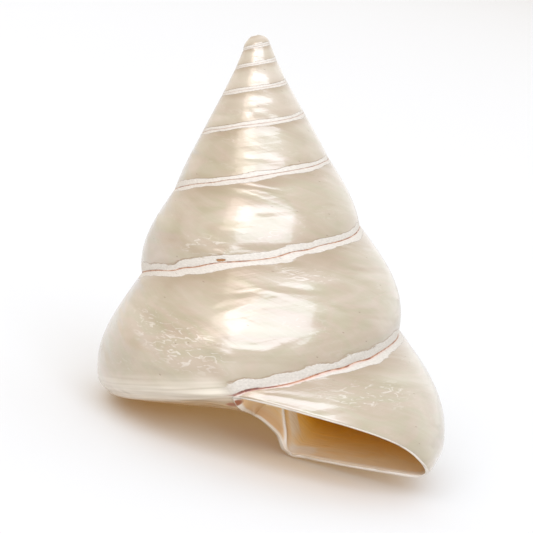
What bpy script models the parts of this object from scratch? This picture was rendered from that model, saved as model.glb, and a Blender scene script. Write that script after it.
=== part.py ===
"""Commercial top shell, ground and polished down to its nacre: one coiled, hollow solid.

The shell is worked out in its own frame first, with its axis upright and its apex up, in millimetres.
Every point has a turn (how far round the coil it lies), a radius from the axis and a drop below the
point that the spire aims at. The finished solid is then laid down on the points it rests on.
Frame: +Z up, the aperture faces -Y and +X, and the origin is at the middle of the box's underside.
"""

import math

import bmesh
import bpy
import numpy as np
from mathutils import Matrix

# Suture: the helix where each whorl meets the one above it. Turn 0 is the first one not worn away.
TURNS = 6.207                             # turn where the outer lip leaves the suture
START_ANGLE = 25.4                        # degrees of turn 0 from +X toward -Y, the way the shell grew
SUTURE_RADIUS = (3.107, -0.040, 0.7158)   # radius = a + b turn + c turn^2
TIP_TAPER = 0.55                          # how much narrower turn 0 is than that
SUTURE_DROP = (3.508, 0.4614, 1.223)      # drop = a exp(b turn) + c turn
LAST_SAG, LAST_SAG_TURNS = 0.85, 0.05     # extra drop of the suture just before the lip
APEX_DROP = 1.7                           # top of the worn tip, one turn above turn 0
APEX_OPENING, APEX_ROUNDING = 0.7, 1.6    # how its spiral widens and falls

# Keel: the free edge of the last whorl, which goes on from the end of the suture.
KEEL_RADIUS = (9.78, -2.12)               # growth per turn and per turn^2 past TURNS
KEEL_DROP = (16.87, 9.30)
KEEL_ROUNDING, ROUNDING_TURNS = 3.6, 0.1  # how far from the sharp corner it starts, once full

# Wall between two sutures: nearly straight on the spire, swollen on the last whorls and at the tip.
SWELL, SWELL_TURN, SWELL_RATE = 0.346, 4.09, 0.37
LOW_SWELL = 2.61                          # how much fuller the lower half is
APEX_SWELL = 0.45

# Base: from the keel to the rim of the umbilical pit.
MARGIN_RADIUS = (7.07, 8.61)              # at the end of the suture and at the columella's tip
MARGIN_DROP = (77.05, 86.05)
MARGIN_CURVE = 2.87                       # how late the rim falls from one to the other
BASE_SWELL = (0.022, 0.0)                 # bow of its outer and its inner half
PIT_DROP = 72.0                           # bottom of the umbilical pit, on the axis
PIT_STEEPNESS = 1.6

# Growth lines lean back from the suture. The finished lip is the last of them.
LIP_LAG, LIP_BOW = 0.2, 0.558             # turns that the lip lags at the keel, and how early it does
TIP_LAG, BASE_BOW = 0.133, 1.70           # the same at the columella's tip, and how late on the base
CREST_CURVE = 2.1                         # the columella's free edge, from the tip to the parietal wall

# Cavity
RIM_THICKNESS = 0.7
SUTURE_CORNER, KEEL_CORNER = 0.04, 0.05   # parts of the wall by which the mouth stops short
PIT_CORNER = 0.03                         # the same part of the base
ROOM_SIZE, ROOM_SQUARENESS = 0.84, 4      # of the cavity within its whorl
THICKENING_TURNS = 0.2                    # from the thin lip to the full wall
CAVITY_TURNS = 2.4
CLOSING_TURNS, END_SIZE = 0.5, 0.1        # the last stretch, and the part of its width it ends with

# How the shell lies: turned about X, top to the back, after a turn about Y.
LEAN_BACK, LEAN_SIDE = -4.25, -14.54

# Mesh
ROWS_PER_TURN = 25
LAG_ROWS = round(LIP_LAG * ROWS_PER_TURN)
WALL_COLUMNS, BASE_COLUMNS, CREST_COLUMNS, PIT_RINGS = 8, 6, 5, 2

NACRE = (0.70, 0.63, 0.52, 1.0)
MM = 0.001
TINY = 1e-6


def ease(x):
    """0 to 1 with flat ends, and held there outside."""
    x = np.clip(x, 0.0, 1.0)
    return x * x * (3 - 2 * x)


def suture(turn):
    """Radius and drop of the suture, then of the keel past TURNS, then of the apex spiral below turn 0."""
    turn = np.asarray(turn, float)
    grown = np.clip(turn, 0.0, TURNS)
    free = np.clip(turn - TURNS, 0.0, None)
    worn = np.clip(1 + turn, 0.0, 1.0)
    a, b, c = SUTURE_RADIUS
    radius = a + b * grown + c * grown**2 - TIP_TAPER * np.clip(1 - grown, 0.0, None)
    radius = radius * worn**APEX_OPENING + KEEL_RADIUS[0] * free + KEEL_RADIUS[1] * free**2
    a, b, c = SUTURE_DROP
    sag = LAST_SAG * np.clip((grown - TURNS) / LAST_SAG_TURNS + 1, 0.0, None) ** 2
    drop = a * np.exp(b * grown) + c * grown + sag + KEEL_DROP[0] * free + KEEL_DROP[1] * free**2
    return radius, drop - (a - APEX_DROP) * (1 - worn**APEX_ROUNDING)


def bowed(start, end, part, early, late, inset):
    """Radius and drop on a line that bows out of the shell, more in its early or its late half."""
    length = np.hypot(end[0] - start[0], end[1] - start[1])
    along = (end[0] - start[0]) / length, (end[1] - start[1]) / length
    out = along[1], -along[0]
    bulge = 3 * part * (1 - part) * ((1 - part) * early + part * late)
    slope = 3 * ((1 - part) * (1 - 3 * part) * early + part * (2 - 3 * part) * late)
    back = inset / (length * np.sqrt(1 + slope**2))
    run, rise = length * (part + back * slope), length * (bulge - back)
    return start[0] + run * along[0] + rise * out[0], start[1] + run * along[1] + rise * out[1]


def margin(turn):
    """Radius and drop of the umbilical pit's rim, below the keel of this turn."""
    radius, drop = suture(np.minimum(turn, TURNS))
    last_radius, last_drop = suture(TURNS)
    scale = radius / last_radius
    past = np.clip((turn - TURNS) / (1 - TIP_LAG), 0.0, None)
    wider = (MARGIN_RADIUS[1] - MARGIN_RADIUS[0]) * past
    lower = (MARGIN_DROP[1] - MARGIN_DROP[0]) * past**MARGIN_CURVE
    return MARGIN_RADIUS[0] * scale + wider, drop + (MARGIN_DROP[0] - last_drop) * scale + lower


def rounded(point, keel_turn):
    """The point moved in by the rounding of the free keel, if it lies near enough to it."""
    keel = suture(keel_turn)
    reach = KEEL_ROUNDING * ease((keel_turn - TURNS) / ROUNDING_TURNS)
    near = np.hypot(point[0] - keel[0], point[1] - keel[1]) / np.maximum(reach, TINY)
    amount = reach * (np.clip(1 - near, 0.0, None) / 2) ** 2
    moved = list(point)
    for side in (suture(keel_turn - 1), margin(keel_turn)):
        length = np.hypot(side[0] - keel[0], side[1] - keel[1])
        moved = [m + amount * (s - k) / length for m, s, k in zip(moved, side, keel)]
    return moved


def wall(turn, across, inset=0.0):
    """Radius and drop on the whorl's side, from the suture above (across 0) to the one below (1)."""
    swell = SWELL / (1 + np.exp((SWELL_TURN - turn) / SWELL_RATE)) + APEX_SWELL * np.clip(-turn, 0.0, 1.0)
    upper, lower = swell / (1 + LOW_SWELL), swell * LOW_SWELL / (1 + LOW_SWELL)
    return rounded(bowed(suture(turn), suture(turn + 1), across, upper, lower, inset), turn + 1)


def base(turn, inward, inset=0.0):
    """Radius and drop on the base, from the keel of this turn (inward 0) to the pit's rim (1)."""
    return rounded(bowed(suture(turn), margin(turn), inward, *BASE_SWELL, inset), turn)


def lip_lag(across):
    """Turns that a growth line lags behind its start at the suture, on the whorl's side."""
    return LIP_LAG * ((1 + LIP_BOW) * across - LIP_BOW * across**2)


def base_lag(inward):
    """The same on the base, for the finished lip."""
    return LIP_LAG + (TIP_LAG - LIP_LAG) * inward**BASE_BOW


def in_space(turn, radius, drop):
    """Points in the upright frame, in millimetres."""
    angle = 2 * math.pi * np.asarray(turn) + math.radians(START_ANGLE)
    return np.stack([radius * np.cos(angle), -radius * np.sin(angle), -drop + 0 * angle], axis=-1)


def base_row(row_turn, inward):
    """Points on one growth line of the base. The first is radial, and the last is the basal lip."""
    grown = (row_turn - (TURNS - 1 + LIP_LAG)) / (1 - LIP_LAG)
    lag = LIP_LAG + (base_lag(inward) - LIP_LAG) * grown
    turn = row_turn - lag + 1
    return in_space(turn, *base(turn, inward))


def crest(part):
    """The columella's free edge, from the tip (part 0) up to the parietal wall (1)."""
    tip, top = margin(TURNS + 1 - TIP_LAG), margin(TURNS)
    radius = tip[0] + (top[0] - tip[0]) * part
    drop = top[1] + (tip[1] - top[1]) * (1 - part) ** CREST_CURVE
    return in_space(TURNS - TIP_LAG * (1 - part), radius, drop)


def whorl_room(turn, outward, downward):
    """Radius and drop inside the whorl: outward 0 at the columella to 1, downward 0 at its roof to 1."""
    inner_top, inner_low = margin(turn), margin(turn + 1)
    outer_top, outer_low = suture(turn), suture(turn + 1)
    top = [a + (b - a) * outward for a, b in zip(inner_top, outer_top)]
    low = [a + (b - a) * outward for a, b in zip(inner_low, outer_low)]
    return [a + (b - a) * downward for a, b in zip(top, low)]


def cavity_loop(depth):
    """One ring of the cavity, depth turns in from the lip, in the same order as the lip's own ring."""
    row_turn = TURNS - depth
    wall_part = np.linspace(0, 1, WALL_COLUMNS + 1)
    base_part = np.linspace(0, 1, BASE_COLUMNS + 1)[1:]
    crest_part = np.linspace(0, 1, CREST_COLUMNS + 1)[1:-1]
    roof_part = base_part[::-1]

    # The ring just inside the lip keeps the lip's shape.
    across = SUTURE_CORNER + (1 - SUTURE_CORNER - KEEL_CORNER) * wall_part
    stop = 1 - PIT_CORNER
    side = row_turn - lip_lag(across)
    floor = row_turn - base_lag(base_part * stop)
    roof = row_turn + 0 * roof_part
    lip = np.array(wall(side, across, RIM_THICKNESS))
    under = np.array(base(floor + 1, base_part * stop, RIM_THICKNESS))
    above = np.array(base(roof, roof_part * stop, -RIM_THICKNESS / 2))
    low, high = under[:, -1:], above[:, :1]
    pillar = low + (high - low) * crest_part
    pillar[1] = high[1] + (low[1] - high[1]) * (1 - crest_part) ** CREST_CURVE
    near_lip = np.hstack([lip, under, pillar, above])
    turn = np.concatenate([side, floor, row_turn - TIP_LAG * (1 - crest_part), roof])

    # Further in it is a rounded room, with a wall that gets thicker.
    outward = np.concatenate([1 + 0 * wall_part, 1 - base_part, 0 * crest_part, 1 - roof_part])
    downward = np.concatenate([wall_part, 1 + 0 * base_part, 1 - crest_part, 0 * roof_part])
    x, y = 2 * outward - 1, 2 * downward - 1
    round_off = ROOM_SIZE / (abs(x) ** ROOM_SQUARENESS + abs(y) ** ROOM_SQUARENESS) ** (1 / ROOM_SQUARENESS)
    room = np.array(whorl_room(turn, 0.5 + 0.5 * x * round_off, 0.5 + 0.5 * y * round_off))

    section = near_lip + (room - near_lip) * ease(depth / THICKENING_TURNS)
    closing = (1 - END_SIZE) * ease((depth - CAVITY_TURNS) / CLOSING_TURNS + 1)
    radius, drop, turn = (v + (v.mean() - v) * closing for v in (*section, turn))
    return in_space(turn, radius, drop)


def shell_mesh():
    """Vertices and faces of the whole solid, in the upright frame."""
    points, faces = [], []

    def add(new_points):
        first = len(points)
        points.extend(np.atleast_2d(new_points))
        return list(range(first, len(points)))

    def skin(line, other):
        faces.extend((a, b, d, c) for a, b, c, d in zip(line, line[1:], other, other[1:]))

    def skin_round(ring, other):
        skin(ring + ring[:1], other + other[:1])

    def close(ring, middle):
        centre = add(middle)[0]
        faces.extend((a, b, centre) for a, b in zip(ring, ring[1:] + ring[:1]))

    # Spire and last whorl: each row ends on the suture, where the row one whorl on begins.
    last = int((TURNS + 1) * ROWS_PER_TURN)
    one_whorl = ROWS_PER_TURN - LAG_ROWS
    row_turns = TURNS - (last - np.arange(last + 1)) / ROWS_PER_TURN
    columns = np.linspace(0, 1, WALL_COLUMNS + 1)
    side, keel = [], {}
    for row, row_turn in enumerate(row_turns):
        turn = row_turn - lip_lag(columns)
        line = in_space(turn, *wall(turn, columns))
        side.append(add(line[:-1]))
        keel[row] = line[-1]
    for row, line in enumerate(side):
        below = row + one_whorl
        line += [side[below][0]] if below <= last else add(keel[row])
    for line, following in zip(side, side[1:]):
        skin(line, following)

    # Worn apex: a fan inside the apex spiral.
    spiral = [line[0] for line in side[: one_whorl + 1]]
    faces.extend((spiral[0], a, b) for a, b in zip(spiral[1:-2], spiral[2:-1]))
    faces.extend((spiral[-2], a, b) for a, b in zip(side[0], side[0][1:]))

    # Base, and the umbilical pit inside its rim.
    inward = np.linspace(0, 1, BASE_COLUMNS + 1)
    underside = []
    for row in range(last - one_whorl, last + 1):
        underside.append(side[row][-1:] + add(base_row(row_turns[row], inward)[1:]))
    for line, following in zip(underside, underside[1:]):
        skin(line, following)
    edge = add(crest(np.linspace(0, 1, CREST_COLUMNS + 1)[1:-1]))
    rim = [line[-1] for line in underside] + edge
    bottom = np.array([0.0, 0.0, -PIT_DROP])
    ring = rim
    for part in np.linspace(1, 0, PIT_RINGS + 2)[1:-1]:
        narrower = add([bottom + (points[i] - bottom) * (part, part, part**PIT_STEEPNESS) for i in rim])
        skin_round(ring, narrower)
        ring = narrower
    close(ring, bottom)

    # Lip, then the cavity behind it: outer lip, basal lip, columella and parietal wall in one ring.
    ring = side[last] + underside[-1][1:] + edge + underside[0][:0:-1]
    loops = round(CAVITY_TURNS * ROWS_PER_TURN)
    for number in range(loops + 1):
        loop = cavity_loop(number / ROWS_PER_TURN)
        deeper = add(loop)
        skin_round(ring, deeper)
        ring = deeper
    close(ring, loop.mean(axis=0))
    return np.array(points), faces


def laid_down(points):
    """The points as the shell lies, with the origin under the middle of its box."""
    back = Matrix.Rotation(math.radians(LEAN_BACK), 3, "X")
    lean = back @ Matrix.Rotation(math.radians(LEAN_SIDE), 3, "Y")
    points = points @ np.array(lean).T * MM
    low, high = points.min(axis=0), points.max(axis=0)
    return points - (low + high) / 2 * (1, 1, 0) - low * (0, 0, 1)


def nacre():
    material = bpy.data.materials.new("nacre")
    material.use_nodes = True
    surface = material.node_tree.nodes["Principled BSDF"].inputs
    surface["Base Color"].default_value = NACRE
    surface["Roughness"].default_value = 0.22
    surface["Metallic"].default_value = 0.0
    return material


def build():
    for old in list(bpy.data.objects):
        bpy.data.objects.remove(old)
    points, faces = shell_mesh()
    mesh = bpy.data.meshes.new("shell")
    mesh.from_pydata(laid_down(points).tolist(), [], faces)
    work = bmesh.new()
    work.from_mesh(mesh)
    bmesh.ops.triangulate(work, faces=work.faces)
    bmesh.ops.recalc_face_normals(work, faces=work.faces)
    work.to_mesh(mesh)
    work.free()
    mesh.shade_smooth()
    mesh.materials.append(nacre())
    shell = bpy.data.objects.new("shell", mesh)
    bpy.context.collection.objects.link(shell)


build()
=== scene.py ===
import math

import bmesh
import bpy
import numpy as np
from mathutils import Matrix, Vector


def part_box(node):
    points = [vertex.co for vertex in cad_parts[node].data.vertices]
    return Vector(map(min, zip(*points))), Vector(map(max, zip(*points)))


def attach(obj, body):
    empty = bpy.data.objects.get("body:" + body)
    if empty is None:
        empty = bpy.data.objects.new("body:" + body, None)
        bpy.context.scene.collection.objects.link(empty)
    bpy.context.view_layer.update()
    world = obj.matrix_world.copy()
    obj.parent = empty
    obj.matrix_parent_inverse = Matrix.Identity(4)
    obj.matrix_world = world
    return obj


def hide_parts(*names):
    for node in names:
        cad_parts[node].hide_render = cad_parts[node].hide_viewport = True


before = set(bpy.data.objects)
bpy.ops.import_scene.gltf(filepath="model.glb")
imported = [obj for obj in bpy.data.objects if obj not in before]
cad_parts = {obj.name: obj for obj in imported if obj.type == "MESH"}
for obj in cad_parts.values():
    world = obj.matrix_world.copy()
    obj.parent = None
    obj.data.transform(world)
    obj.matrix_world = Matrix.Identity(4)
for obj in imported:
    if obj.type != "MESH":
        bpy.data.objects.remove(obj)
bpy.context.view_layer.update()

MM = 0.001

# ---------------------------------------------------------------- shell: how it coils
# A sea snail lays its shell down in one piece, as a tube that widens and drops as it winds to the right.
# Three curves round the axis give the tube: the suture where the whorls meet, the keel that goes on
# from it as the free edge of the last whorl, and the rim of the pit beside the columella.
# Sizes are millimetres, with the axis upright and drops measured below the point the spire aims at.

TURNS = 6.207                             # where the outer lip leaves the suture
START_ANGLE = 25.4                        # degrees of turn 0 from +X toward -Y, the way the shell grew
SUTURE_RADIUS = (3.107, -0.040, 0.7158)   # a + b turn + c turn^2
SUTURE_DROP = (3.508, 0.4614, 1.223)      # a exp(b turn) + c turn
TIP_TAPER = 0.55                          # how much narrower the coil is at turn 0, fading out by turn 1
LAST_SAG, LAST_SAG_TURNS = 0.85, 0.05     # drop of the suture's last bit, and how far back it starts
APEX_DROP = 1.7                           # of the top of the worn apex
APEX_OPENING, APEX_ROUNDING = 0.7, 1.6    # powers that open and round off the worn apex
KEEL_RADIUS = (9.78, -2.12)               # beyond the last suture, a turn + b turn^2
KEEL_DROP = (16.87, 9.30)                 # the same
KEEL_ROUNDING, ROUNDING_TURNS = 3.6, 0.1  # reach of the free keel's rounding, and how soon it is full
TINY = 1e-6                               # keeps a reach of nothing from dividing by zero
SWELL, SWELL_TURN, SWELL_RATE = 0.346, 4.09, 0.37   # the whorls swell more from the fourth on
LOW_SWELL = 2.61                          # how many times more in their lower half
APEX_SWELL = 0.45                         # of the worn dome at the tip
MARGIN_RADIUS = (7.07, 8.61)              # the pit's rim, at the top and at the tip of the columella
MARGIN_DROP = (77.05, 86.05)              # the same
MARGIN_CURVE = 2.87                       # power that bends the rim down to that tip
BASE_SWELL = (0.022, 0.0)                 # of the base, near the keel and near the pit
LIP_LAG, LIP_BOW = 0.2, 0.558             # turns that the growth lines slant back from suture to keel
TIP_LAG, BASE_BOW = 0.133, 1.70           # and from the suture to the tip of the columella
LEAN_BACK, LEAN_SIDE = -4.25, -14.54      # degrees, how it settles on the tip of the columella and the keel


def ease(x):
    x = np.clip(x, 0.0, 1.0)
    return x * x * (3 - 2 * x)


def suture(turn):
    """Radius and drop of the suture, of the keel past TURNS, and of the worn apex below turn 0."""
    grown = np.clip(turn, 0.0, TURNS)
    free = np.clip(turn - TURNS, 0.0, None)
    worn = np.clip(1 + turn, 0.0, 1.0)
    a, b, c = SUTURE_RADIUS
    radius = a + b * grown + c * grown**2 - TIP_TAPER * np.clip(1 - grown, 0.0, None)
    radius = radius * worn**APEX_OPENING + KEEL_RADIUS[0] * free + KEEL_RADIUS[1] * free**2
    a, b, c = SUTURE_DROP
    sag = LAST_SAG * np.clip((grown - TURNS) / LAST_SAG_TURNS + 1, 0.0, None) ** 2
    drop = a * np.exp(b * grown) + c * grown + sag + KEEL_DROP[0] * free + KEEL_DROP[1] * free**2
    return radius, drop - (a - APEX_DROP) * (1 - worn**APEX_ROUNDING)


def margin(turn):
    """Radius and drop of the pit's rim."""
    radius, drop = suture(np.minimum(turn, TURNS))
    last_radius, last_drop = suture(np.float64(TURNS))
    scale = radius / last_radius
    past = np.clip((turn - TURNS) / (1 - TIP_LAG), 0.0, None)
    wider = (MARGIN_RADIUS[1] - MARGIN_RADIUS[0]) * past
    lower = (MARGIN_DROP[1] - MARGIN_DROP[0]) * past**MARGIN_CURVE
    return MARGIN_RADIUS[0] * scale + wider, drop + (MARGIN_DROP[0] - last_drop) * scale + lower


def bowed(start, end, part, early, late, inset):
    """A line in a radial section that bows out of the shell, pushed in by inset."""
    length = np.hypot(end[0] - start[0], end[1] - start[1])
    along = (end[0] - start[0]) / length, (end[1] - start[1]) / length
    out = along[1], -along[0]
    bulge = 3 * part * (1 - part) * ((1 - part) * early + part * late)
    slope = 3 * ((1 - part) * (1 - 3 * part) * early + part * (2 - 3 * part) * late)
    back = inset / (length * np.sqrt(1 + slope**2))
    run, rise = length * (part + back * slope), length * (bulge - back)
    return start[0] + run * along[0] + rise * out[0], start[1] + run * along[1] + rise * out[1]


def rounded(point, keel_turn):
    """The point, moved in where it lies near the free keel."""
    keel = suture(keel_turn)
    reach = KEEL_ROUNDING * ease((keel_turn - TURNS) / ROUNDING_TURNS) + TINY
    near = np.hypot(point[0] - keel[0], point[1] - keel[1]) / reach
    amount = reach * (np.clip(1 - near, 0.0, None) / 2) ** 2
    moved = list(point)
    for side in (suture(keel_turn - 1), margin(keel_turn)):
        length = np.hypot(side[0] - keel[0], side[1] - keel[1])
        moved = [m + amount * (s - k) / length for m, s, k in zip(moved, side, keel)]
    return moved


def wall(turn, across, inset=0.0):
    """The whorl's side, from the suture above (0) to the one below (1)."""
    swell = SWELL / (1 + np.exp((SWELL_TURN - turn) / SWELL_RATE)) + APEX_SWELL * np.clip(-turn, 0.0, 1.0)
    upper, lower = swell / (1 + LOW_SWELL), swell * LOW_SWELL / (1 + LOW_SWELL)
    return rounded(bowed(suture(turn), suture(turn + 1), across, upper, lower, inset), turn + 1)


def base(turn, inward, inset=0.0):
    """The base, from the keel (0) to the pit's rim (1)."""
    return rounded(bowed(suture(turn), margin(turn), inward, *BASE_SWELL, inset), turn)


def lip_lag(across):
    """Turns that a growth line slants back on the whorl's side."""
    return LIP_LAG * ((1 + LIP_BOW) * across - LIP_BOW * across**2)


def base_lag(inward):
    """The same on the base."""
    return LIP_LAG + (TIP_LAG - LIP_LAG) * inward**BASE_BOW


def in_space(turn, radius, drop):
    """Points in the upright frame, Z up."""
    angle = 2 * math.pi * np.asarray(turn) + math.radians(START_ANGLE)
    return np.stack([radius * np.cos(angle), -radius * np.sin(angle), -drop + 0 * angle], axis=-1)


# The mesh grows row by row; a row is one growth line, and it ends where the row ONE_WHORL on begins.
ROWS_PER_TURN = 200
LAG_ROWS = round(LIP_LAG * ROWS_PER_TURN)
ONE_WHORL = ROWS_PER_TURN - LAG_ROWS
LAST = int((TURNS + 1) * ROWS_PER_TURN)
row_turns = TURNS - (LAST - np.arange(LAST + 1)) / ROWS_PER_TURN

# Each corner of each face carries seven marks that the materials read. The first three are the way along the
# coil and down it, in mm on the surface, and whether the suture still holds there, 1 or 0. Inside the mouth
# they are the way in, the way round, and the fold, 1 on it and -1 behind it. The next three are the way along
# the nearest suture in mm, and how far below and above a suture the place is, in ribbon widths. The last is
# the region: 0 outside, 1 on the lip's edge, 2 to 3 down the pit, and 3 and up inside.
MARKS, REGION = 7, 6
FAR = 99.0
points, quads, marks = [], [], []
counted = 0


def add(new_points):
    """Adds points and returns their numbers, in the same layout."""
    global counted
    new_points = np.asarray(new_points, float)
    numbers = counted + np.arange(new_points[..., 0].size).reshape(new_points.shape[:-1])
    points.append(new_points.reshape(-1, 3))
    counted += numbers.size
    return numbers


def marked(along, down, held=0.0, run=0.0, below=FAR, above=FAR, region=0.0):
    """The marks of a row or a grid of corners."""
    values = np.broadcast_arrays(along, down, held, run, below, above, region)
    return np.stack([np.asarray(v, float) for v in values], -1)


def length_along(path):
    """Millimetres along a row of points, from its first."""
    return np.concatenate([[0], np.cumsum(np.linalg.norm(np.diff(path, axis=0), axis=1))])


def skin(numbers, values):
    """Quads between neighbouring rows of a grid, with the marks of each corner. Rows that run round and
    close on their first point have one mark more than points."""
    if values.shape[1] > numbers.shape[1]:
        numbers = np.concatenate([numbers, numbers[:, :1]], 1)
    corners = [(slice(None, -1), slice(None, -1)), (slice(None, -1), slice(1, None)),
               (slice(1, None), slice(1, None)), (slice(1, None), slice(None, -1))]
    quads.append(np.stack([numbers[c] for c in corners], -1).reshape(-1, 4))
    marks.append(np.stack([values[c] for c in corners], -2).reshape(-1, 4, values.shape[-1]))


def fan(ring, middle, values):
    """Closes a ring with triangles round one point; a triangle is a quad whose third corner repeats."""
    middles = np.full(len(ring), middle)
    quads.append(np.stack([ring, np.roll(ring, -1), middles, middles], -1))
    marks.append(np.tile(values, (len(ring), 4, 1)))


# ---------------------------------------------------------------- side of the whorls
# Grinding took the rough outer layer off down to the nacre. The wheel can't reach into the suture, so a
# ribbon of the chalky outer layer stays on both sides of it, and the suture is a thin crack between them.
# The crack wanders a little, because each whorl was laid onto the uneven side of the one before.
RIBBON_LEAST, RIBBON_GROWTH = 0.15, 0.05  # mm, and per mm of whorl height
RIBBON_MOST = 1 / 9                       # of the whorl's height
CRACK_DEPTH, CRACK_WIDTH = 0.06, 0.12     # in ribbon widths
VALLEY_DEPTH, VALLEY_REACH = 0.05, 2      # of the broad shallow valley it lies in, in the same
FINE = np.array([0.0, 0.1, 0.2, 0.35, 0.6, 0.9, 1.3, 1.8, 2.4, 3.0])  # columns beside a suture, in the same
MIDDLE_COLUMNS = 24
SUTURE_LET_GO = 0.02                      # turns over which the last whorl comes free
WANDERS = ((0.13, 5.1, 2.0, 13.0), (0.08, 1.7, 1.5, 4.1))   # ribbon widths, mm long, how much that varies, mm

fine_turns = np.linspace(-1, TURNS + 1, 4000)
suture_points = in_space(fine_turns, *suture(fine_turns))
suture_lengths = length_along(suture_points)


def suture_run(turn):
    """Millimetres along the suture from the apex."""
    return np.interp(turn, fine_turns, suture_lengths)


def wander(turn):
    """How far the suture strays from its even curve, down the shell, in ribbon widths."""
    run = suture_run(turn)
    return sum(size * np.sin(run / long + swing * np.sin(run / slow)) for size, long, swing, slow in WANDERS)


top_radius, top_drop = suture(row_turns)
low_radius, low_drop = suture(row_turns + 1)
chord = np.hypot(low_radius - top_radius, low_drop - top_drop)
ribbon = np.minimum(RIBBON_LEAST + RIBBON_GROWTH * chord, RIBBON_MOST * chord)
near = FINE * (ribbon / chord)[:, None]
middle = np.linspace(0, 1, MIDDLE_COLUMNS + 1)[1:-1]
between = near[:, -1:] + (1 - 2 * near[:, -1:]) * middle
across = np.hstack([near, between, 1 - near[:, ::-1]])
low_turns = row_turns + 1 - LIP_LAG
below = across * (chord / ribbon)[:, None] + wander(row_turns)[:, None]
above = (1 - across) * (chord / ribbon)[:, None] - wander(low_turns)[:, None]
held = 1 - ease((low_turns - TURNS) / SUTURE_LET_GO + 0.5)
nearest = np.minimum(abs(below), abs(above) + FAR * (1 - held[:, None]))
sunk = CRACK_DEPTH * np.exp(-((nearest / CRACK_WIDTH) ** 2))
sunk += VALLEY_DEPTH * (1 - ease(nearest / VALLEY_REACH))
turn = row_turns[:, None] - lip_lag(across)
grid = in_space(turn, *wall(turn, across, sunk * ribbon[:, None]))
row_run = np.concatenate([[0], np.cumsum(math.pi * (top_radius[1:] + low_radius[1:]) / ROWS_PER_TURN)])
upper_half = across < 0.5
runs = np.where(upper_half, suture_run(row_turns)[:, None], suture_run(low_turns)[:, None])
side_marks = marked(row_run[:, None], across * chord[:, None], np.where(upper_half, 1.0, held[:, None]), runs,
                    below, above)
body = add(grid[:, :-1])
free_keel = add(grid[LAST - ONE_WHORL + 1:, -1])
side = np.concatenate([body, np.concatenate([body[ONE_WHORL:, 0], free_keel])[:, None]], 1)
skin(side, side_marks)

# Worn apex: the first whorls are ground away, and a low dome closes the coil.
apex_ring = body[:ONE_WHORL + 1, 0]
tip_faces = [(apex_ring[0], a, b, b) for a, b in zip(apex_ring[1:-2], apex_ring[2:-1])]
tip_faces += [(apex_ring[-2], a, b, b) for a, b in zip(side[0][:-1], side[0][1:])]
quads.append(np.array(tip_faces))
marks.append(np.tile(marked(0.0, 1.0), (len(tip_faces), 4, 1)))

# ---------------------------------------------------------------- base
# The base is the underside of the last whorl: nearly flat, with growth lines that curve back from the keel
# to the rim of the pit. It is ground and polished like the sides.
BASE_COLUMNS = 26
inward = np.linspace(0, 1, BASE_COLUMNS + 1)
base_turns = row_turns[LAST - ONE_WHORL:]
grown = (base_turns - (TURNS - 1 + LIP_LAG)) / (1 - LIP_LAG)
lag = LIP_LAG + (base_lag(inward) - LIP_LAG) * grown[:, None]
turn = base_turns[:, None] - lag + 1
under = in_space(turn, *base(turn, inward))
reach = np.linalg.norm(under[:, -1] - under[:, 0], axis=-1)[:, None] * inward
keel_chord = chord[LAST - ONE_WHORL:, None]
base_ribbon = ribbon[LAST - ONE_WHORL:, None]
under_marks = marked(row_run[LAST - ONE_WHORL:, None], keel_chord + reach, 0.0,
                     suture_run(base_turns + 1 - LIP_LAG)[:, None], FAR, reach / base_ribbon)
keel_row = np.concatenate([[body[LAST, 0]], free_keel])
underside = np.concatenate([keel_row[:, None], add(under[:, 1:])], 1)
skin(underside, under_marks)

# ---------------------------------------------------------------- columella and pit
# The columella is the pillar that the tube winds round. Its free edge, the inner lip, runs from the tip up
# to the wall of the whorl before, and a funnel-shaped pit that ends blind lies behind it.
CREST_COLUMNS = 24
CREST_CURVE = 1.75                        # power that bows the inner lip
PIT_DROP, PIT_STEEPNESS, PIT_RINGS = 72.0, 1.6, 14
PIT_SIDE = 12.0                           # mm from its rim to its bottom
part = np.linspace(0, 1, CREST_COLUMNS + 1)[1:-1]
tip, top = margin(np.float64(TURNS + 1 - TIP_LAG)), margin(np.float64(TURNS))
crest_radius = tip[0] + (top[0] - tip[0]) * part
crest_drop = top[1] + (tip[1] - top[1]) * (1 - part) ** CREST_CURVE
crest = add(in_space(TURNS - TIP_LAG * (1 - part), crest_radius, crest_drop))

rim = np.concatenate([underside[:, -1], crest])
rim_points = np.concatenate(points)[rim]
bottom = np.array([0.0, 0.0, -PIT_DROP])
steps = np.linspace(1, 0, PIT_RINGS + 1)[:-1]
shrink = np.stack([steps, steps, steps**PIT_STEEPNESS], -1)[1:]
pit = np.concatenate([rim[None], add(bottom + (rim_points - bottom) * shrink[:, None])])
rim_run = length_along(np.concatenate([rim_points, rim_points[:1]]))
pit_marks = marked(rim_run, PIT_SIDE * (1 - steps[:, None]), region=3 - steps[:, None])
pit_marks[0, ..., REGION] = 0.0
skin(pit, pit_marks)
fan(pit[-1], add(bottom[None])[0], marked(0.0, PIT_SIDE, region=3.0))

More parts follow.
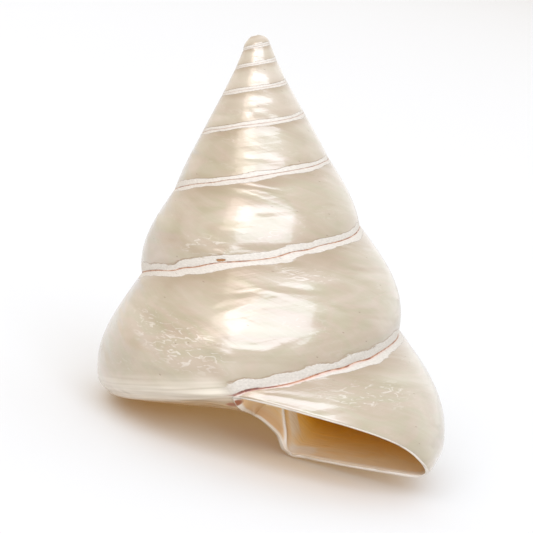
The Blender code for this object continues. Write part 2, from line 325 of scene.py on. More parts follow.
# ---------------------------------------------------------------- mouth and cavity
# The mouth is a thin lip, rounded over by the polishing. Behind it the wall thickens and the tube winds up
# inside the whorls. The columella's face swells into one smooth fold, as the snail left it.
RIM_THICKNESS, RIM_BEAD = 0.7, 0.22       # mm, the bead being how far the edge is rounded out
SUTURE_CORNER, KEEL_CORNER, PIT_CORNER = 0.04, 0.05, 0.03   # of the wall and base, lost to the thickness
ROOM_SIZE, ROOM_SQUARENESS = 0.84, 4      # of the whorl that the cavity fills further in
THICKENING_TURNS = 0.2                    # behind the lip, over which the wall gets its full thickness
CAVITY_TURNS, CLOSING_TURNS, END_SIZE = 2.4, 0.5, 0.1   # how far in it goes, and how it closes
RIM_LOOPS, NEAR_LOOPS, FAR_LOOPS = 4, 84, 100   # rings of the mesh: round the edge, near it, and further in
NEAR_TURNS = 0.3
FOLD_SLANT, FOLD_CURVE, FOLD_WIDTH = 0.118, 1.35, 0.006   # where the fold lies behind the lip, in turns
FOLD_FADES, LIP_FADE = (1 / 5, 1 / 3), 0.01   # shares of its length that fade at its ends, turns at the lip
FOLD_HEIGHT, GROOVE_DEPTH = 0.6, 0.15     # mm
GROOVE_BEHIND, GROOVE_WIDTH = 2.4, 2.0    # in fold widths
PALE_START, PALE_END, PALE_FADE = 3, 11, 2   # the pale nacre behind the fold, in the same
PALE_FOOT = 1 / 4                         # share of the fold's length over which it fades at the foot
ring = np.concatenate([side[LAST], underside[-1, 1:], crest, underside[0, :0:-1]])
on_pillar = slice(side.shape[1] + BASE_COLUMNS, side.shape[1] + BASE_COLUMNS + len(part))


def past_fold(depth):
    """How far behind the fold each place on the columella's face is, in fold widths."""
    return (depth - FOLD_SLANT * part**FOLD_CURVE) / FOLD_WIDTH


def whorl_room(turn, outward, downward):
    """Radius and drop of a place in the whorl's section: 0 at its inner and upper sides, 1 at the others."""
    inner_top, inner_low = margin(turn), margin(turn + 1)
    outer_top, outer_low = suture(turn), suture(turn + 1)
    top = [a + (b - a) * outward for a, b in zip(inner_top, outer_top)]
    low = [a + (b - a) * outward for a, b in zip(inner_low, outer_low)]
    return [a + (b - a) * downward for a, b in zip(top, low)]


def cavity_loop(depth):
    """One ring of the cavity, depth turns in from the lip: outer wall, floor, columella and roof."""
    row_turn = TURNS - depth
    wall_part = np.linspace(0, 1, side.shape[1])
    floor_part = inward[1:]
    roof_part = floor_part[::-1]
    stretch = SUTURE_CORNER + (1 - SUTURE_CORNER - KEEL_CORNER) * wall_part
    lip_side = row_turn - lip_lag(stretch)
    lip_floor = row_turn - base_lag(floor_part * (1 - PIT_CORNER))
    roof = row_turn + 0 * roof_part
    outer = np.array(wall(lip_side, stretch, RIM_THICKNESS))
    floor = np.array(base(lip_floor + 1, floor_part * (1 - PIT_CORNER), RIM_THICKNESS))
    ceiling = np.array(base(roof, roof_part * (1 - PIT_CORNER), -RIM_THICKNESS / 2))
    low, high = floor[:, -1:], ceiling[:, :1]
    pillar = low + (high - low) * part
    pillar[1] = high[1] + (low[1] - high[1]) * (1 - part) ** CREST_CURVE
    near_lip = np.hstack([outer, floor, pillar, ceiling])
    pillar_turn = row_turn - TIP_LAG * (1 - part)
    turn = np.concatenate([lip_side, lip_floor, pillar_turn, roof])
    outward = np.concatenate([1 + 0 * wall_part, 1 - floor_part, 0 * part, 1 - roof_part])
    downward = np.concatenate([wall_part, 1 + 0 * floor_part, 1 - part, 0 * roof_part])
    x, y = 2 * outward - 1, 2 * downward - 1
    round_off = ROOM_SIZE / (abs(x) ** ROOM_SQUARENESS + abs(y) ** ROOM_SQUARENESS) ** (1 / ROOM_SQUARENESS)
    room = np.array(whorl_room(turn, 0.5 + 0.5 * x * round_off, 0.5 + 0.5 * y * round_off))
    section = near_lip + (room - near_lip) * ease(depth / THICKENING_TURNS)
    into_groove = (past_fold(depth) - GROOVE_BEHIND) / GROOVE_WIDTH
    fold = FOLD_HEIGHT * np.exp(-(past_fold(depth) ** 2)) - GROOVE_DEPTH * np.exp(-(into_groove**2))
    fold *= ease(part / FOLD_FADES[0]) * ease((1 - part) / FOLD_FADES[1]) * ease(depth / LIP_FADE)
    section[0, on_pillar] += fold
    closing = (1 - END_SIZE) * ease((depth - CAVITY_TURNS) / CLOSING_TURNS + 1)
    radius, drop, turn = (v + (v.mean() - v) * closing for v in (*section, turn))
    return in_space(turn, radius, drop)


depths = np.concatenate([np.linspace(0, NEAR_TURNS, NEAR_LOOPS, endpoint=False),
                         np.linspace(NEAR_TURNS, CAVITY_TURNS, FAR_LOOPS)])
loops = np.array([cavity_loop(depth) for depth in depths])
edge = np.concatenate(points)[ring]
forward = loops[0] - loops[1]
forward /= np.linalg.norm(forward, axis=-1, keepdims=True)
shares = np.linspace(0, 1, RIM_LOOPS + 1)[1:-1, None, None]
bead = edge + (loops[0] - edge) * shares + forward * RIM_BEAD * np.sin(math.pi * shares)
inside = np.concatenate([bead, loops])
cavity = np.concatenate([ring[None], add(inside)])
around = length_along(np.concatenate([edge, edge[:1]]))
ring_points = np.concatenate([edge[None], inside])
deep = np.cumsum(np.linalg.norm(np.diff(ring_points, axis=0), axis=-1).mean(axis=1))
deep = np.concatenate([[0], deep])
from_fold = past_fold(depths[:, None])
pale = ease((from_fold - PALE_START) / PALE_FADE) * ease((PALE_END - from_fold) / PALE_FADE)
pale *= ease(part / PALE_FOOT)
ridge = np.zeros((len(depths), len(ring) + 1))
ridge[:, on_pillar] = np.exp(-(from_fold**2)) - pale
outside_faces = sum(len(q) for q in quads)
skin(cavity[:RIM_LOOPS + 1], marked(deep[:RIM_LOOPS + 1, None], around, region=1.0))
skin(cavity[RIM_LOOPS:], marked(deep[RIM_LOOPS:, None], around, ridge, region=3 + depths[:, None]))
fan(cavity[-1], add(inside[-1].mean(axis=0)[None])[0], marked(deep[-1], 0.0, region=3 + CAVITY_TURNS))

# ---------------------------------------------------------------- the shell in one piece
# Grown as one piece, so it is one mesh. It is leant over onto the points it rests on, and set in the place
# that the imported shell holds. Two finishes: the polished outside, and the inside that no wheel reached.


def linear(hex_colour):
    """sRGB hex to linear RGBA."""
    parts = [int(hex_colour[i:i + 2], 16) / 255 for i in (1, 3, 5)]
    return [c / 12.92 if c <= 0.04045 else ((c + 0.055) / 1.055) ** 2.4 for c in parts] + [1.0]


back = Matrix.Rotation(math.radians(LEAN_BACK), 3, "X")
lean = np.array(back @ Matrix.Rotation(math.radians(LEAN_SIDE), 3, "Y"))
co = np.concatenate(points) @ lean.T * MM
low, high = co.min(axis=0), co.max(axis=0)
cad_low, cad_high = (np.array(corner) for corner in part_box("shell"))
fit = ((cad_high - cad_low) / (high - low)).min()
co = (co - (low + high) / 2) * fit + (cad_low + cad_high) / 2
co[:, 2] += cad_low[2] - co[:, 2].min()

# Swellings and worn corners that the even curves leave out: where, how far it is pushed and its reach, in mm.
for centre, push, reach in (
        ((5.4, -9.6, 1.2), (-0.6, -1.1, -0.2), 4.5),         # end of the columella
        ((5.4, -10.4, 0.4), (0.4, 0.1, 0.55), 1.7),          # its corner, worn round
        ((32.3, -20.0, 6.6), (0.55, 0.0, 0.15), 6.0),        # corner of the lip at the keel
        ((-6.3, -24.8, 12.1), (0.21, -0.16, -0.85), 7.0),    # inner lip beside the suture
        ((-4.5, -18.0, 9.9), (0.20, -0.15, -0.80), 7.5),     # its middle
        ((-1.2, -10.8, 7.0), (0.20, -0.15, -0.80), 7.0)):    # where it meets the columella
    away = np.linalg.norm(co / MM - centre, axis=1) / reach
    co += np.outer((1 - np.clip(away, 0.0, 1.0) ** 2) ** 2, push) * MM

faces = np.concatenate(quads)
corner_marks = np.concatenate(marks)
triangle = faces[:, 2] == faces[:, 3]
inner = np.arange(len(faces)) >= outside_faces + RIM_LOOPS * len(ring)   # behind the polished edge of the lip
order = np.concatenate([np.flatnonzero(~triangle), np.flatnonzero(triangle)])
corners = [face[:3] if short else face for face, short in zip(faces[order].tolist(), triangle[order])]
values = np.concatenate([corner_marks[~triangle].reshape(-1, MARKS),
                         corner_marks[triangle][:, :3].reshape(-1, MARKS)])

mesh = bpy.data.meshes.new("top_shell")
mesh.from_pydata(co.tolist(), [], corners)
for name, columns in (("coil", [0, 1, 2]), ("seam", [3, 4, 5])):
    layer = mesh.attributes.new(name, "FLOAT_VECTOR", "CORNER")
    layer.data.foreach_set("vector", values[:, columns].astype(np.float32).ravel())
layer = mesh.attributes.new("region", "FLOAT", "CORNER")
layer.data.foreach_set("value", values[:, REGION].astype(np.float32))
mesh.polygons.foreach_set("material_index", inner[order].astype(np.int32))
work = bmesh.new()
work.from_mesh(mesh)
bmesh.ops.recalc_face_normals(work, faces=work.faces)
work.to_mesh(mesh)
work.free()
mesh.shade_smooth()
shell = bpy.data.objects.new("top_shell", mesh)
bpy.context.collection.objects.link(shell)


def add_node(tree, kind, inputs=None, stops=(), **settings):
    """Adds a node with its settings, its inputs as values or as links from sockets, and a ramp's stops."""
    made = tree.nodes.new(kind)
    for name, value in settings.items():
        setattr(made, name, value)
    for name, value in (inputs or {}).items():
        if isinstance(value, bpy.types.NodeSocket):
            tree.links.new(value, made.inputs[name])
        else:
            made.inputs[name].default_value = value
    for count, (place, hex_colour) in enumerate(stops):
        stop = made.color_ramp.elements[count] if count < 2 else made.color_ramp.elements.new(place)
        stop.position, stop.color = place, linear(hex_colour)
    return made


def spot(tree, vector, centre, size):
    """Distance from the centre of an oval spot on the surface, 1 at its edge."""
    placed = add_node(tree, "ShaderNodeMapping", {"Vector": vector, "Location": centre, "Scale": size},
                      vector_type="TEXTURE").outputs[0]
    return add_node(tree, "ShaderNodeVectorMath", {0: placed}, operation="LENGTH").outputs["Value"]


# Polished nacre, mother-of-pearl: thin layers of aragonite, ground and buffed. It gives the eye a creamy body
# colour under a deep gloss, broken by the growth lines and by the waves that hand grinding leaves.
nacre = bpy.data.materials.new("polished nacre")
nacre.use_nodes = True
tree = nacre.node_tree
coil = add_node(tree, "ShaderNodeAttribute", attribute_name="coil").outputs["Vector"]
seam = add_node(tree, "ShaderNodeAttribute", attribute_name="seam").outputs["Vector"]
region = add_node(tree, "ShaderNodeAttribute", attribute_name="region").outputs["Fac"]
along, down, held = add_node(tree, "ShaderNodeSeparateXYZ", {0: coil}).outputs
run, below, above = add_node(tree, "ShaderNodeSeparateXYZ", {0: seam}).outputs

# Patterns over the shell: how long each is along the coil and down it in mm, its slant in radians, its detail
# and its distortion.
patterns = {}
for name, (long, tall, slant, detail, distortion) in {
    "clouds": (14, 9, 0.3, 3.0, 0.8),           # patches of paler and deeper nacre
    "tints": (7, 5, -0.4, 2.0, 1.2),            # pink and green, from the thickness of the layers
    "waves": (11, 6, 0.2, 1.2, 0.5),            # left by hand grinding
    "growth lines": (1.3, 17, 0.12, 3.0, 0.3),  # real ones are finer: drawn coarser to show
    "buffing": (19, 0.8, 0.05, 2.0, 0.2),       # fine wheel marks along the whorls, drawn coarser to show
    "brushing": (9, 0.7, 0.75, 3.0, 0.5),       # fine wheel marks across them, drawn coarser to show
    "knocks": (1.7, 0.9, 0.5, 3.0, 1.0),        # shallow chips where the nacre came off in flakes
    "where knocked": (13, 9, 0.0, 2.0, 0.0),
    "grain": (0.45, 0.35, 0.0, 3.0, 0.0),       # of the chalky layer
}.items():
    placed = add_node(tree, "ShaderNodeMapping", {"Vector": coil, "Scale": (1 / long, 1 / tall, 0.0),
                                                  "Rotation": (0.0, 0.0, slant)}).outputs[0]
    patterns[name] = add_node(tree, "ShaderNodeTexNoise", {"Vector": placed, "Scale": 1.0, "Detail": detail,
                                                           "Distortion": distortion},
                              noise_dimensions="2D").outputs["Fac"]

# Places where the wheel broke flakes out of the nacre and left it pitted: mm along the coil and down it, and
# half their length and height. A faint scatter of flakes lies between them.
FLAT = 1000.0                             # size of a spot across a mark that it doesn't depend on
flaked = add_node(tree, "ShaderNodeMapRange", {"Value": patterns["where knocked"], "From Min": 0.55,
                                               "From Max": 0.72, "To Max": 0.35}).outputs[0]
for at_along, at_down, long, tall in ((572, 6.5, 11, 6), (431, 15, 10, 9), (282, 15, 6, 4), (391, 5, 5, 4)):
    away = spot(tree, coil, (at_along, at_down, 0.0), (long, tall, FLAT))
    amount = add_node(tree, "ShaderNodeMapRange", {"Value": away, "From Min": 1.0, "From Max": 0.4},
                      interpolation_type="SMOOTHSTEP").outputs[0]
    flaked = add_node(tree, "ShaderNodeMath", {0: flaked, 1: amount}, operation="MAXIMUM").outputs[0]

# Ribbons beside the suture: each side has its own width and raggedness, in ribbon widths. The lower one thins
# out toward the lip.
RAGGED_SCALE = (1 / 9.0, 1 / 4.0, 0.0)    # one ragged bit is 9 mm along the coil and 4 mm down it
last_run = float(suture_run(TURNS))
to_lip = add_node(tree, "ShaderNodeMapRange", {"Value": run, "From Min": last_run - 30,
                                               "From Max": last_run - 4},
                  interpolation_type="SMOOTHSTEP").outputs[0]
sides = []
for distance, wide, ragged, thinning, offset in ((above, 1.35, 0.9, 0.1, 0.0), (below, 0.95, 0.5, 0.7, 70.0)):
    placed = add_node(tree, "ShaderNodeMapping", {"Vector": coil, "Location": (offset, offset, 0.0),
                                                  "Scale": RAGGED_SCALE}).outputs[0]
    edge_noise = add_node(tree, "ShaderNodeTexNoise", {"Vector": placed, "Scale": 1.0, "Detail": 5.0,
                                                       "Roughness": 0.58},
                          noise_dimensions="2D").outputs["Fac"]
    width = add_node(tree, "ShaderNodeMapRange", {"Value": edge_noise, "From Min": 0.3, "From Max": 0.7,
                                                  "To Min": wide - ragged / 2, "To Max": wide + ragged / 2},
                     clamp=False).outputs[0]
    width = add_node(tree, "ShaderNodeMath", {0: to_lip, 1: -thinning, 2: width},
                     operation="MULTIPLY_ADD").outputs[0]
    inside_by = add_node(tree, "ShaderNodeMath", {0: width, 1: distance}, operation="SUBTRACT").outputs[0]
    mask = add_node(tree, "ShaderNodeMapRange", {"Value": inside_by, "From Min": -0.04, "From Max": 0.08},
                    interpolation_type="SMOOTHSTEP").outputs[0]
    sides.append((inside_by, mask))
(above_by, above_mask), (below_by, below_mask) = sides
above_mask = add_node(tree, "ShaderNodeMath", {0: above_mask, 1: held}, operation="MULTIPLY").outputs[0]
chalk = add_node(tree, "ShaderNodeMath", {0: above_mask, 1: below_mask}, operation="MAXIMUM").outputs[0]

# The crack: dark where it gapes and wider near the lip, with pink beside it where the colour of the outer
# layer shows. It closes toward the apex.
is_below = add_node(tree, "ShaderNodeMath", {0: below, 1: above}, operation="LESS_THAN").outputs[0]
minus_above = add_node(tree, "ShaderNodeMath", {0: above, 1: -1.0}, operation="MULTIPLY").outputs[0]
from_crack = add_node(tree, "ShaderNodeMix", {0: is_below, 2: minus_above, 3: below},
                      data_type="FLOAT").outputs[0]
crack_noise = add_node(tree, "ShaderNodeTexNoise", {"W": run, "Scale": 0.45, "Detail": 4.0, "Roughness": 0.7},
                       noise_dimensions="1D").outputs["Fac"]
crack_width = add_node(tree, "ShaderNodeMapRange", {"Value": crack_noise, "From Min": 0.36, "From Max": 0.62,
                                                    "To Min": 0.012, "To Max": 0.05}).outputs[0]
gape = add_node(tree, "ShaderNodeMapRange", {"Value": run, "From Min": last_run - 10,
                                             "From Max": last_run - 7},
                interpolation_type="SMOOTHSTEP").outputs[0]
crack_width = add_node(tree, "ShaderNodeMath", {0: gape, 1: 0.05, 2: crack_width},
                       operation="MULTIPLY_ADD").outputs[0]
off_crack = add_node(tree, "ShaderNodeMath", {0: from_crack}, operation="ABSOLUTE").outputs[0]
crack_by = add_node(tree, "ShaderNodeMath", {0: crack_width, 1: off_crack}, operation="SUBTRACT").outputs[0]
crack = add_node(tree, "ShaderNodeMapRange", {"Value": crack_by, "From Min": -0.09, "From Max": 0.03},
                 interpolation_type="SMOOTHSTEP").outputs[0]
opened = add_node(tree, "ShaderNodeMapRange", {"Value": run, "From Min": 60.0, "From Max": 220.0,
                                               "To Min": 0.4}).outputs[0]
for share in (held, opened):
    crack = add_node(tree, "ShaderNodeMath", {0: crack, 1: share}, operation="MULTIPLY").outputs[0]
pink = add_node(tree, "ShaderNodeMapRange", {"Value": from_crack, "From Min": 0.34, "From Max": 0.08},
                interpolation_type="SMOOTHSTEP").outputs[0]
pink_above = add_node(tree, "ShaderNodeMapRange", {"Value": from_crack, "From Min": -0.14, "From Max": -0.02},
                      interpolation_type="SMOOTHSTEP").outputs[0]
pink_near_lip = add_node(tree, "ShaderNodeMapRange", {"Value": run, "From Min": last_run - 45,
                                                      "From Max": last_run - 12, "To Min": 0.1,
                                                      "To Max": 0.65}).outputs[0]
for share in (pink_above, pink_near_lip, held):
    pink = add_node(tree, "ShaderNodeMath", {0: pink, 1: share}, operation="MULTIPLY").outputs[0]

# One small hole in the ribbon, 2 mm long, and pinholes here and there.
PINHOLE_SCALE = (1 / 10.0, 1 / 10.0, 0.0)   # one in each 10 mm square
away = spot(tree, seam, (325.1, 0.0, 0.45), (1.05, FLAT, 0.3))
away = add_node(tree, "ShaderNodeMath", {0: patterns["grain"], 1: 0.7, 2: away},
                operation="MULTIPLY_ADD").outputs[0]
hole = add_node(tree, "ShaderNodeMapRange", {"Value": away, "From Min": 1.45, "From Max": 1.1},
                interpolation_type="SMOOTHSTEP").outputs[0]
placed = add_node(tree, "ShaderNodeMapping", {"Vector": coil, "Scale": PINHOLE_SCALE}).outputs[0]
away = add_node(tree, "ShaderNodeTexVoronoi", {"Vector": placed, "Scale": 1.0},
                voronoi_dimensions="2D").outputs[0]
pinholes = add_node(tree, "ShaderNodeMapRange", {"Value": away, "From Min": 0.02, "From Max": 0.008,
                                                 "To Max": 0.6}).outputs[0]

# Body colour: khaki cream with faint pink and green tints. What follows is laid over it, in this order.
body_colour = add_node(tree, "ShaderNodeValToRGB", {"Fac": patterns["clouds"]},
                       stops=((0.33, "#A39276"), (0.5, "#AC9D82"), (0.67, "#B8AA94"))).outputs["Color"]
tint = add_node(tree, "ShaderNodeValToRGB", {"Fac": patterns["tints"]},
                stops=((0.35, "#A9A586"), (0.65, "#C0A698"))).outputs["Color"]
colour = add_node(tree, "ShaderNodeMix", {0: 0.28, 6: body_colour, 7: tint}, data_type="RGBA").outputs[2]
pale_lines = add_node(tree, "ShaderNodeMapRange", {"Value": patterns["growth lines"], "From Min": 0.5,
                                                   "From Max": 0.75, "To Max": 0.06}).outputs[0]
# Paler on the early whorls: partly their more worn nacre, partly painted light, as they lie nearer the
# softbox's reflection.
early_whorls = add_node(tree, "ShaderNodeMapRange", {"Value": along, "From Min": 190.0, "From Max": 40.0,
                                                     "To Max": 0.5}).outputs[0]
# Pale paint on the flaked places: painted glints where the chips catch the light.
flake_glints = add_node(tree, "ShaderNodeMapRange", {"Value": patterns["knocks"], "From Min": 0.57,
                                               "From Max": 0.67, "To Max": 0.4}).outputs[0]
flake_glints = add_node(tree, "ShaderNodeMath", {0: flake_glints, 1: flaked}, operation="MULTIPLY").outputs[0]

# Tan just outside the ribbons, and a painted shadow along the upper one: a thin dark line at the step where
# the polished nacre above meets the ribbon.
tans = []
for inside_by, most in ((above_by, 0.25), (below_by, 0.6)):
    tans.append(add_node(tree, "ShaderNodeMapRange", {"Value": inside_by, "From Min": -3.5, "From Max": -0.1,
                                                      "To Max": most},
                         interpolation_type="SMOOTHSTEP").outputs[0])
tan = add_node(tree, "ShaderNodeMath", {0: tans[0], 1: tans[1]}, operation="MAXIMUM").outputs[0]
step_shadow = add_node(tree, "ShaderNodeMapRange", {"Value": above_by, "From Min": -0.34, "From Max": -0.05},
                     interpolation_type="SMOOTHSTEP").outputs[0]
# The painted shadow shows in patches along the step.
step_shadow_patches = add_node(tree, "ShaderNodeMapRange", {"Value": patterns["clouds"], "From Min": 0.32, "From Max": 0.55,
                                             "To Max": 0.85}).outputs[0]
for share in (step_shadow_patches, held):
    step_shadow = add_node(tree, "ShaderNodeMath", {0: step_shadow, 1: share}, operation="MULTIPLY").outputs[0]

# The free keel was never ground right down: whitish streaks of the outer layer are left along it.
keel_streaks = add_node(tree, "ShaderNodeMapRange", {"Value": above, "From Min": 3.2, "From Max": 0.8,
                                                     "To Max": 1.3}).outputs[0]
free = add_node(tree, "ShaderNodeMath", {0: 1.0, 1: held}, operation="SUBTRACT").outputs[0]
for share in (free, patterns["buffing"]):
    keel_streaks = add_node(tree, "ShaderNodeMath", {0: keel_streaks, 1: share},
                            operation="MULTIPLY").outputs[0]

# The base is gold past the keel and pales unevenly toward the pit, which is tan. The gold and its fading go
# by the millimetres down from the suture and over the keel.
gold = add_node(tree, "ShaderNodeMapRange", {"Value": down, "From Min": 25.0, "From Max": 35.0,
                                             "To Max": 0.85}, interpolation_type="SMOOTHSTEP").outputs[0]
uneven = add_node(tree, "ShaderNodeMath", {0: patterns["clouds"], 1: 14.0, 2: down},
                  operation="MULTIPLY_ADD").outputs[0]
to_pit = add_node(tree, "ShaderNodeMapRange", {"Value": uneven, "From Min": 42.0, "From Max": 56.0,
                                               "To Max": 0.9}).outputs[0]
in_pit = add_node(tree, "ShaderNodeMath", {0: region, 1: 1.5}, operation="GREATER_THAN").outputs[0]

# Ribbon and crack colours, a rusty stain at the corner of the mouth, and the pale edge of the lip, a painted
# highlight on its rounded rim.
chalk_colour = add_node(tree, "ShaderNodeMix", {0: patterns["grain"], 6: linear("#B8AFA3"),
                                                7: linear("#DFD7CB")}, data_type="RGBA").outputs[2]
crack_shade = add_node(tree, "ShaderNodeMath", {0: gape, 1: 0.25, 2: crack_noise},
                       operation="MULTIPLY_ADD").outputs[0]
crack_colour = add_node(tree, "ShaderNodeValToRGB", {"Fac": crack_shade},
                        stops=((0.4, "#B87A46"), (0.62, "#8C4A1E"), (0.85, "#6A1E08"))).outputs["Color"]
away = spot(tree, coil, (431.0, 31.6, 0.0), (1.5, 1.6, FLAT))
away = add_node(tree, "ShaderNodeMath", {0: patterns["grain"], 1: 1.4, 2: away},
                operation="MULTIPLY_ADD").outputs[0]
stain = add_node(tree, "ShaderNodeMapRange", {"Value": away, "From Min": 1.8, "From Max": 1.4}).outputs[0]
# The lip's rounded edge is painted pale: a painted highlight.
rim_highlight = add_node(tree, "ShaderNodeMath", {0: region, 1: 1.0, 2: 0.3}, operation="COMPARE").outputs[0]

for share, paint in (
        (pale_lines, linear("#D2CBC0")), (early_whorls, linear("#CBBFAE")), (flake_glints, linear("#EEE8DE")),
        (tan, linear("#977E60")), (step_shadow, linear("#8A6E4C")), (keel_streaks, linear("#E4DAC8")),
        (gold, linear("#D2AC74")), (to_pit, linear("#E6DCC8")), (in_pit, linear("#CFA26C")),
        (chalk, chalk_colour), (pink, linear("#D9A592")), (crack, crack_colour), (hole, linear("#98621C")),
        (pinholes, linear("#6E5036")), (stain, linear("#94460A")), (rim_highlight, linear("#DAD0C2"))):
    colour = add_node(tree, "ShaderNodeMix", {0: share, 6: colour, 7: paint}, data_type="RGBA").outputs[2]

# The chalk is rougher than the nacre, and the crack, the stain and the chalk take no polish.
roughness = add_node(tree, "ShaderNodeMix", {0: chalk, 2: 0.31, 3: 0.62}, data_type="FLOAT").outputs[0]
dull = chalk
for share in (crack, stain):
    dull = add_node(tree, "ShaderNodeMath", {0: dull, 1: share}, operation="MAXIMUM").outputs[0]
coat = add_node(tree, "ShaderNodeMapRange", {"Value": dull, "To Min": 0.8, "To Max": 0.05}).outputs[0]

# Relief in mm: what each pattern adds to the height. The last millimetres turn in toward the lip.
LIP_TURNS_IN = 9.0                        # mm before the lip
last_along = float(row_run[-1])
lip_bend = add_node(tree, "ShaderNodeMapRange", {"Value": along, "From Min": last_along - LIP_TURNS_IN,
                                                 "From Max": last_along}).outputs[0]
lip_bend = add_node(tree, "ShaderNodeMath", {0: lip_bend, 1: 2.0}, operation="POWER").outputs[0]
knocks = add_node(tree, "ShaderNodeMath", {0: patterns["knocks"], 1: flaked}, operation="MULTIPLY").outputs[0]
relief = add_node(tree, "ShaderNodeMath", {0: patterns["waves"], 1: 0.48}, operation="MULTIPLY").outputs[0]
for pattern, height in ((patterns["growth lines"], 0.02), (patterns["buffing"], 0.015),
                        (patterns["brushing"], 0.016), (knocks, 0.055), (chalk, 0.09), (crack, -0.06),
                        (hole, -0.15), (lip_bend, -0.09)):
    relief = add_node(tree, "ShaderNodeMath", {0: pattern, 1: height, 2: relief},
                      operation="MULTIPLY_ADD").outputs[0]
bump = add_node(tree, "ShaderNodeBump", {"Height": relief, "Distance": MM, "Strength": 1.0}).outputs["Normal"]

surface = tree.nodes["Principled BSDF"]
surface.inputs["IOR"].default_value = 2.0
surface.inputs["Coat IOR"].default_value = 1.6
surface.inputs["Metallic"].default_value = 0.05
surface.inputs["Coat Roughness"].default_value = 0.07
for name, result in (("Base Color", colour), ("Roughness", roughness), ("Coat Weight", coat),
                     ("Normal", bump), ("Coat Normal", bump)):
    tree.links.new(result, surface.inputs[name])
mesh.materials.append(nacre)

# Unpolished nacre inside: smooth as the snail laid it. Pale and pearly by the lip, painted light where the
# open mouth lets light in. Further in the gold is painted bright, standing in for light that comes through
# the thin wall, and light that has bounced from wall to wall deepens it to golden brown.
inside_nacre = bpy.data.materials.new("natural nacre inside")
inside_nacre.use_nodes = True
tree = inside_nacre.node_tree
coil = add_node(tree, "ShaderNodeAttribute", attribute_name="coil").outputs["Vector"]
region = add_node(tree, "ShaderNodeAttribute", attribute_name="region").outputs["Fac"]
behind_edge, round_ring, ridge_mark = add_node(tree, "ShaderNodeSeparateXYZ", {0: coil}).outputs
STREAK_SCALE = (1 / 3.0, 1 / 9.0, 0.0)    # a streak is 3 mm across and 9 mm long, round the tube
placed = add_node(tree, "ShaderNodeMapping", {"Vector": coil, "Scale": STREAK_SCALE}).outputs[0]
streaks = add_node(tree, "ShaderNodeTexNoise", {"Vector": placed, "Scale": 1.0, "Detail": 3.0,
                                                "Distortion": 1.0}, noise_dimensions="2D").outputs["Fac"]
wandering = add_node(tree, "ShaderNodeMath", {0: streaks, 1: 0.06, 2: region},
                     operation="MULTIPLY_ADD").outputs[0]
# Painted light: pale near the lip where light comes in at the mouth, to bright gold deeper in, where it
# stands in for light through the wall.
painted_light_depth = add_node(tree, "ShaderNodeMapRange", {"Value": wandering, "From Min": 3.0,
                                                 "From Max": 3.5}).outputs[0]
colour = add_node(tree, "ShaderNodeValToRGB", {"Fac": painted_light_depth},
                  stops=((0.1, "#EEDCBE"), (0.2, "#F0CC8A"), (0.38, "#FFCA40"))).outputs["Color"]

# The columella's face is tan up to the fold. The fold is painted white, a painted highlight along its ridge,
# and the groove behind it is pale, with a pearly patch at its foot that is a painted highlight. A rusty stain
# sits in the corner of the mouth, and the edge of the lip is painted pale, a painted highlight on its
# polished rounding.
on_face = add_node(tree, "ShaderNodeMapRange", {"Value": round_ring, "From Min": 79.0, "From Max": 84.0,
                                                "To Max": 0.8}).outputs[0]
before_fold = add_node(tree, "ShaderNodeMapRange", {"Value": region, "From Min": 3.05,
                                                    "From Max": 3.02}).outputs[0]
face = add_node(tree, "ShaderNodeMath", {0: on_face, 1: before_fold}, operation="MULTIPLY").outputs[0]
groove = add_node(tree, "ShaderNodeMapRange", {"Value": ridge_mark, "From Min": -0.1, "From Max": -0.9,
                                               "To Max": 0.8}).outputs[0]
# Pearly patch at the foot of the groove: a painted highlight.
away = spot(tree, coil, (4.5, 76.8, 0.0), (4.0, 3.6, FLAT))
away = add_node(tree, "ShaderNodeMath", {0: streaks, 1: 0.6, 2: away}, operation="MULTIPLY_ADD").outputs[0]
pearly_highlight = add_node(tree, "ShaderNodeMapRange", {"Value": away, "From Min": 1.3, "From Max": 0.8,
                                               "To Max": 0.85}, interpolation_type="SMOOTHSTEP").outputs[0]
# The fold is painted white: a painted highlight along its ridge.
fold_highlight = add_node(tree, "ShaderNodeMapRange", {"Value": ridge_mark, "From Min": 0.2,
                                                "From Max": 0.7}).outputs[0]
away = spot(tree, coil, (1.8, 110.9, 0.0), (1.4, 1.9, FLAT))
stain = add_node(tree, "ShaderNodeMapRange", {"Value": away, "From Min": 1.0, "From Max": 0.6}).outputs[0]
# The lip's edge is painted pale: a painted highlight on its polished rounding.
edge_highlight = add_node(tree, "ShaderNodeMapRange", {"Value": behind_edge, "From Min": 2.9,
                                                  "From Max": 2.4}).outputs[0]
for share, hex_colour in ((face, "#DDB27A"), (groove, "#EADFCE"), (pearly_highlight, "#EDE6DD"), (fold_highlight, "#FFFDFA"),
                          (edge_highlight, "#F4ECE0"), (stain, "#94460A")):
    colour = add_node(tree, "ShaderNodeMix", {0: share, 6: colour, 7: linear(hex_colour)},
                      data_type="RGBA").outputs[2]
bump = add_node(tree, "ShaderNodeBump", {"Height": streaks, "Distance": 0.12 * MM,
                                         "Strength": 1.0}).outputs["Normal"]

surface = tree.nodes["Principled BSDF"]
surface.inputs["IOR"].default_value = 1.5
surface.inputs["Roughness"].default_value = 0.3
surface.inputs["Coat Weight"].default_value = 0.1
surface.inputs["Coat IOR"].default_value = 1.6
surface.inputs["Coat Roughness"].default_value = 0.12
tree.links.new(colour, surface.inputs["Base Color"])
tree.links.new(bump, surface.inputs["Normal"])
mesh.materials.append(inside_nacre)

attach(shell, "root")
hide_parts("shell")

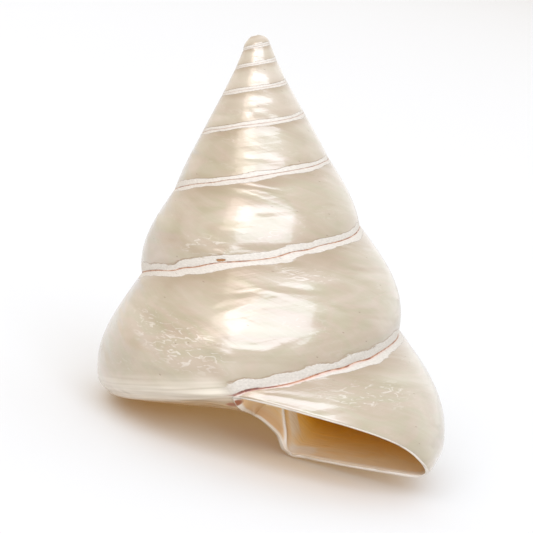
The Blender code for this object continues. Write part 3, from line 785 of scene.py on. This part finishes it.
# ---------------------------------------------------------------- floor
# A sheet of white paper, lit until it is nearly blank, so that only the soft warm shadow is left on it. A
# faint warm glow of the paper stands in for the light that the shell throws into its own shadow.
FLOOR_REACH = 30.0                        # m, so far that no edge shows
paper_corners = [(x * FLOOR_REACH, y * FLOOR_REACH, 0) for x, y in ((-1, -1), (1, -1), (1, 1), (-1, 1))]
paper_mesh = bpy.data.meshes.new("floor")
paper_mesh.from_pydata(paper_corners, [], [(0, 1, 2, 3)])
paper = bpy.data.materials.new("white paper")
paper.use_nodes = True
surface = paper.node_tree.nodes["Principled BSDF"]
surface.inputs["Base Color"].default_value = linear("#CFD8DE")
surface.inputs["Emission Color"].default_value = linear("#FFC070")
surface.inputs["Emission Strength"].default_value = 0.17
surface.inputs["Roughness"].default_value = 0.95
surface.inputs["Specular IOR Level"].default_value = 0.05
paper_mesh.materials.append(paper)
floor = bpy.data.objects.new("floor", paper_mesh)
bpy.context.collection.objects.link(floor)

# ---------------------------------------------------------------- light
# A white studio: a bright backdrop behind the shell, and a dimmer room in front, a little warm at the left.
# A large softbox high in front gives each whorl its broad pearly reflection, and a weaker warm one at its
# left carries that reflection round the side.
world = bpy.data.worlds.new("studio")
bpy.context.scene.world = world
world.use_nodes = True
tree = world.node_tree
direction = add_node(tree, "ShaderNodeTexCoord").outputs["Generated"]
to_right, to_back, _ = add_node(tree, "ShaderNodeSeparateXYZ", {0: direction}).outputs
brightness = add_node(tree, "ShaderNodeMapRange", {"Value": to_back, "From Min": 0.33, "From Max": 0.42,
                                                   "To Min": 0.92, "To Max": 1.25},
                      interpolation_type="SMOOTHSTEP").outputs[0]
warm = add_node(tree, "ShaderNodeMapRange", {"Value": to_right, "From Min": 0.3, "From Max": -0.7},
                interpolation_type="SMOOTHSTEP").outputs[0]
walls = add_node(tree, "ShaderNodeMix", {0: warm, 6: linear("#FFFFFF"), 7: linear("#EAE3DA")},
                 data_type="RGBA").outputs[2]
tree.links.new(brightness, tree.nodes["Background"].inputs["Strength"])
tree.links.new(walls, tree.nodes["Background"].inputs["Color"])

# Turned to each light from the middle of the floor, in degrees; sizes and distance in metres, power in watts.
LIGHTS_AWAY = 12.0
for name, azimuth, elevation, roll, width, height, power, hex_colour in (
        ("softbox", -1.0, 39.0, 14.0, 14.0, 9.3, 1300.0, "#E4EEFF"),
        ("side_softbox", -42.0, 40.0, 14.0, 5.5, 6.5, 210.0, "#FFEEE2")):
    light = bpy.data.lights.new(name, "AREA")
    light.shape = "RECTANGLE"
    light.color = linear(hex_colour)[:3]
    light.size, light.size_y, light.energy = width, height, power
    lamp = bpy.data.objects.new(name, light)
    bpy.context.collection.objects.link(lamp)
    turned = (Matrix.Rotation(math.radians(azimuth), 4, "Z")
              @ Matrix.Rotation(math.radians(90 - elevation), 4, "X")
              @ Matrix.Rotation(math.radians(roll), 4, "Z"))
    lamp.matrix_world = turned @ Matrix.Translation((0, 0, LIGHTS_AWAY))

# ---------------------------------------------------------------- camera
# A long lens, 0.4 m away and 10 degrees above level, rolled so that the leaning spire stands upright.
LOOK_AT = Vector((-7.35, -4.80, 35.76)) * MM
CAMERA_AWAY = 0.4
CAMERA_AZIMUTH, CAMERA_ELEVATION, CAMERA_ROLL = -1.52, 10.23, 14.23
camera_data = bpy.data.cameras.new("camera")
camera_data.sensor_width = 36.0
camera_data.lens = 135.1
camera = bpy.data.objects.new("camera", camera_data)
bpy.context.collection.objects.link(camera)
turned = (Matrix.Rotation(math.radians(CAMERA_AZIMUTH), 4, "Z")
          @ Matrix.Rotation(math.radians(90 - CAMERA_ELEVATION), 4, "X")
          @ Matrix.Rotation(math.radians(CAMERA_ROLL), 4, "Z"))
camera.matrix_world = Matrix.Translation(LOOK_AT) @ turned @ Matrix.Translation((0, 0, CAMERA_AWAY))
bpy.context.scene.camera = camera
bpy.context.scene.view_settings.view_transform = "Standard"
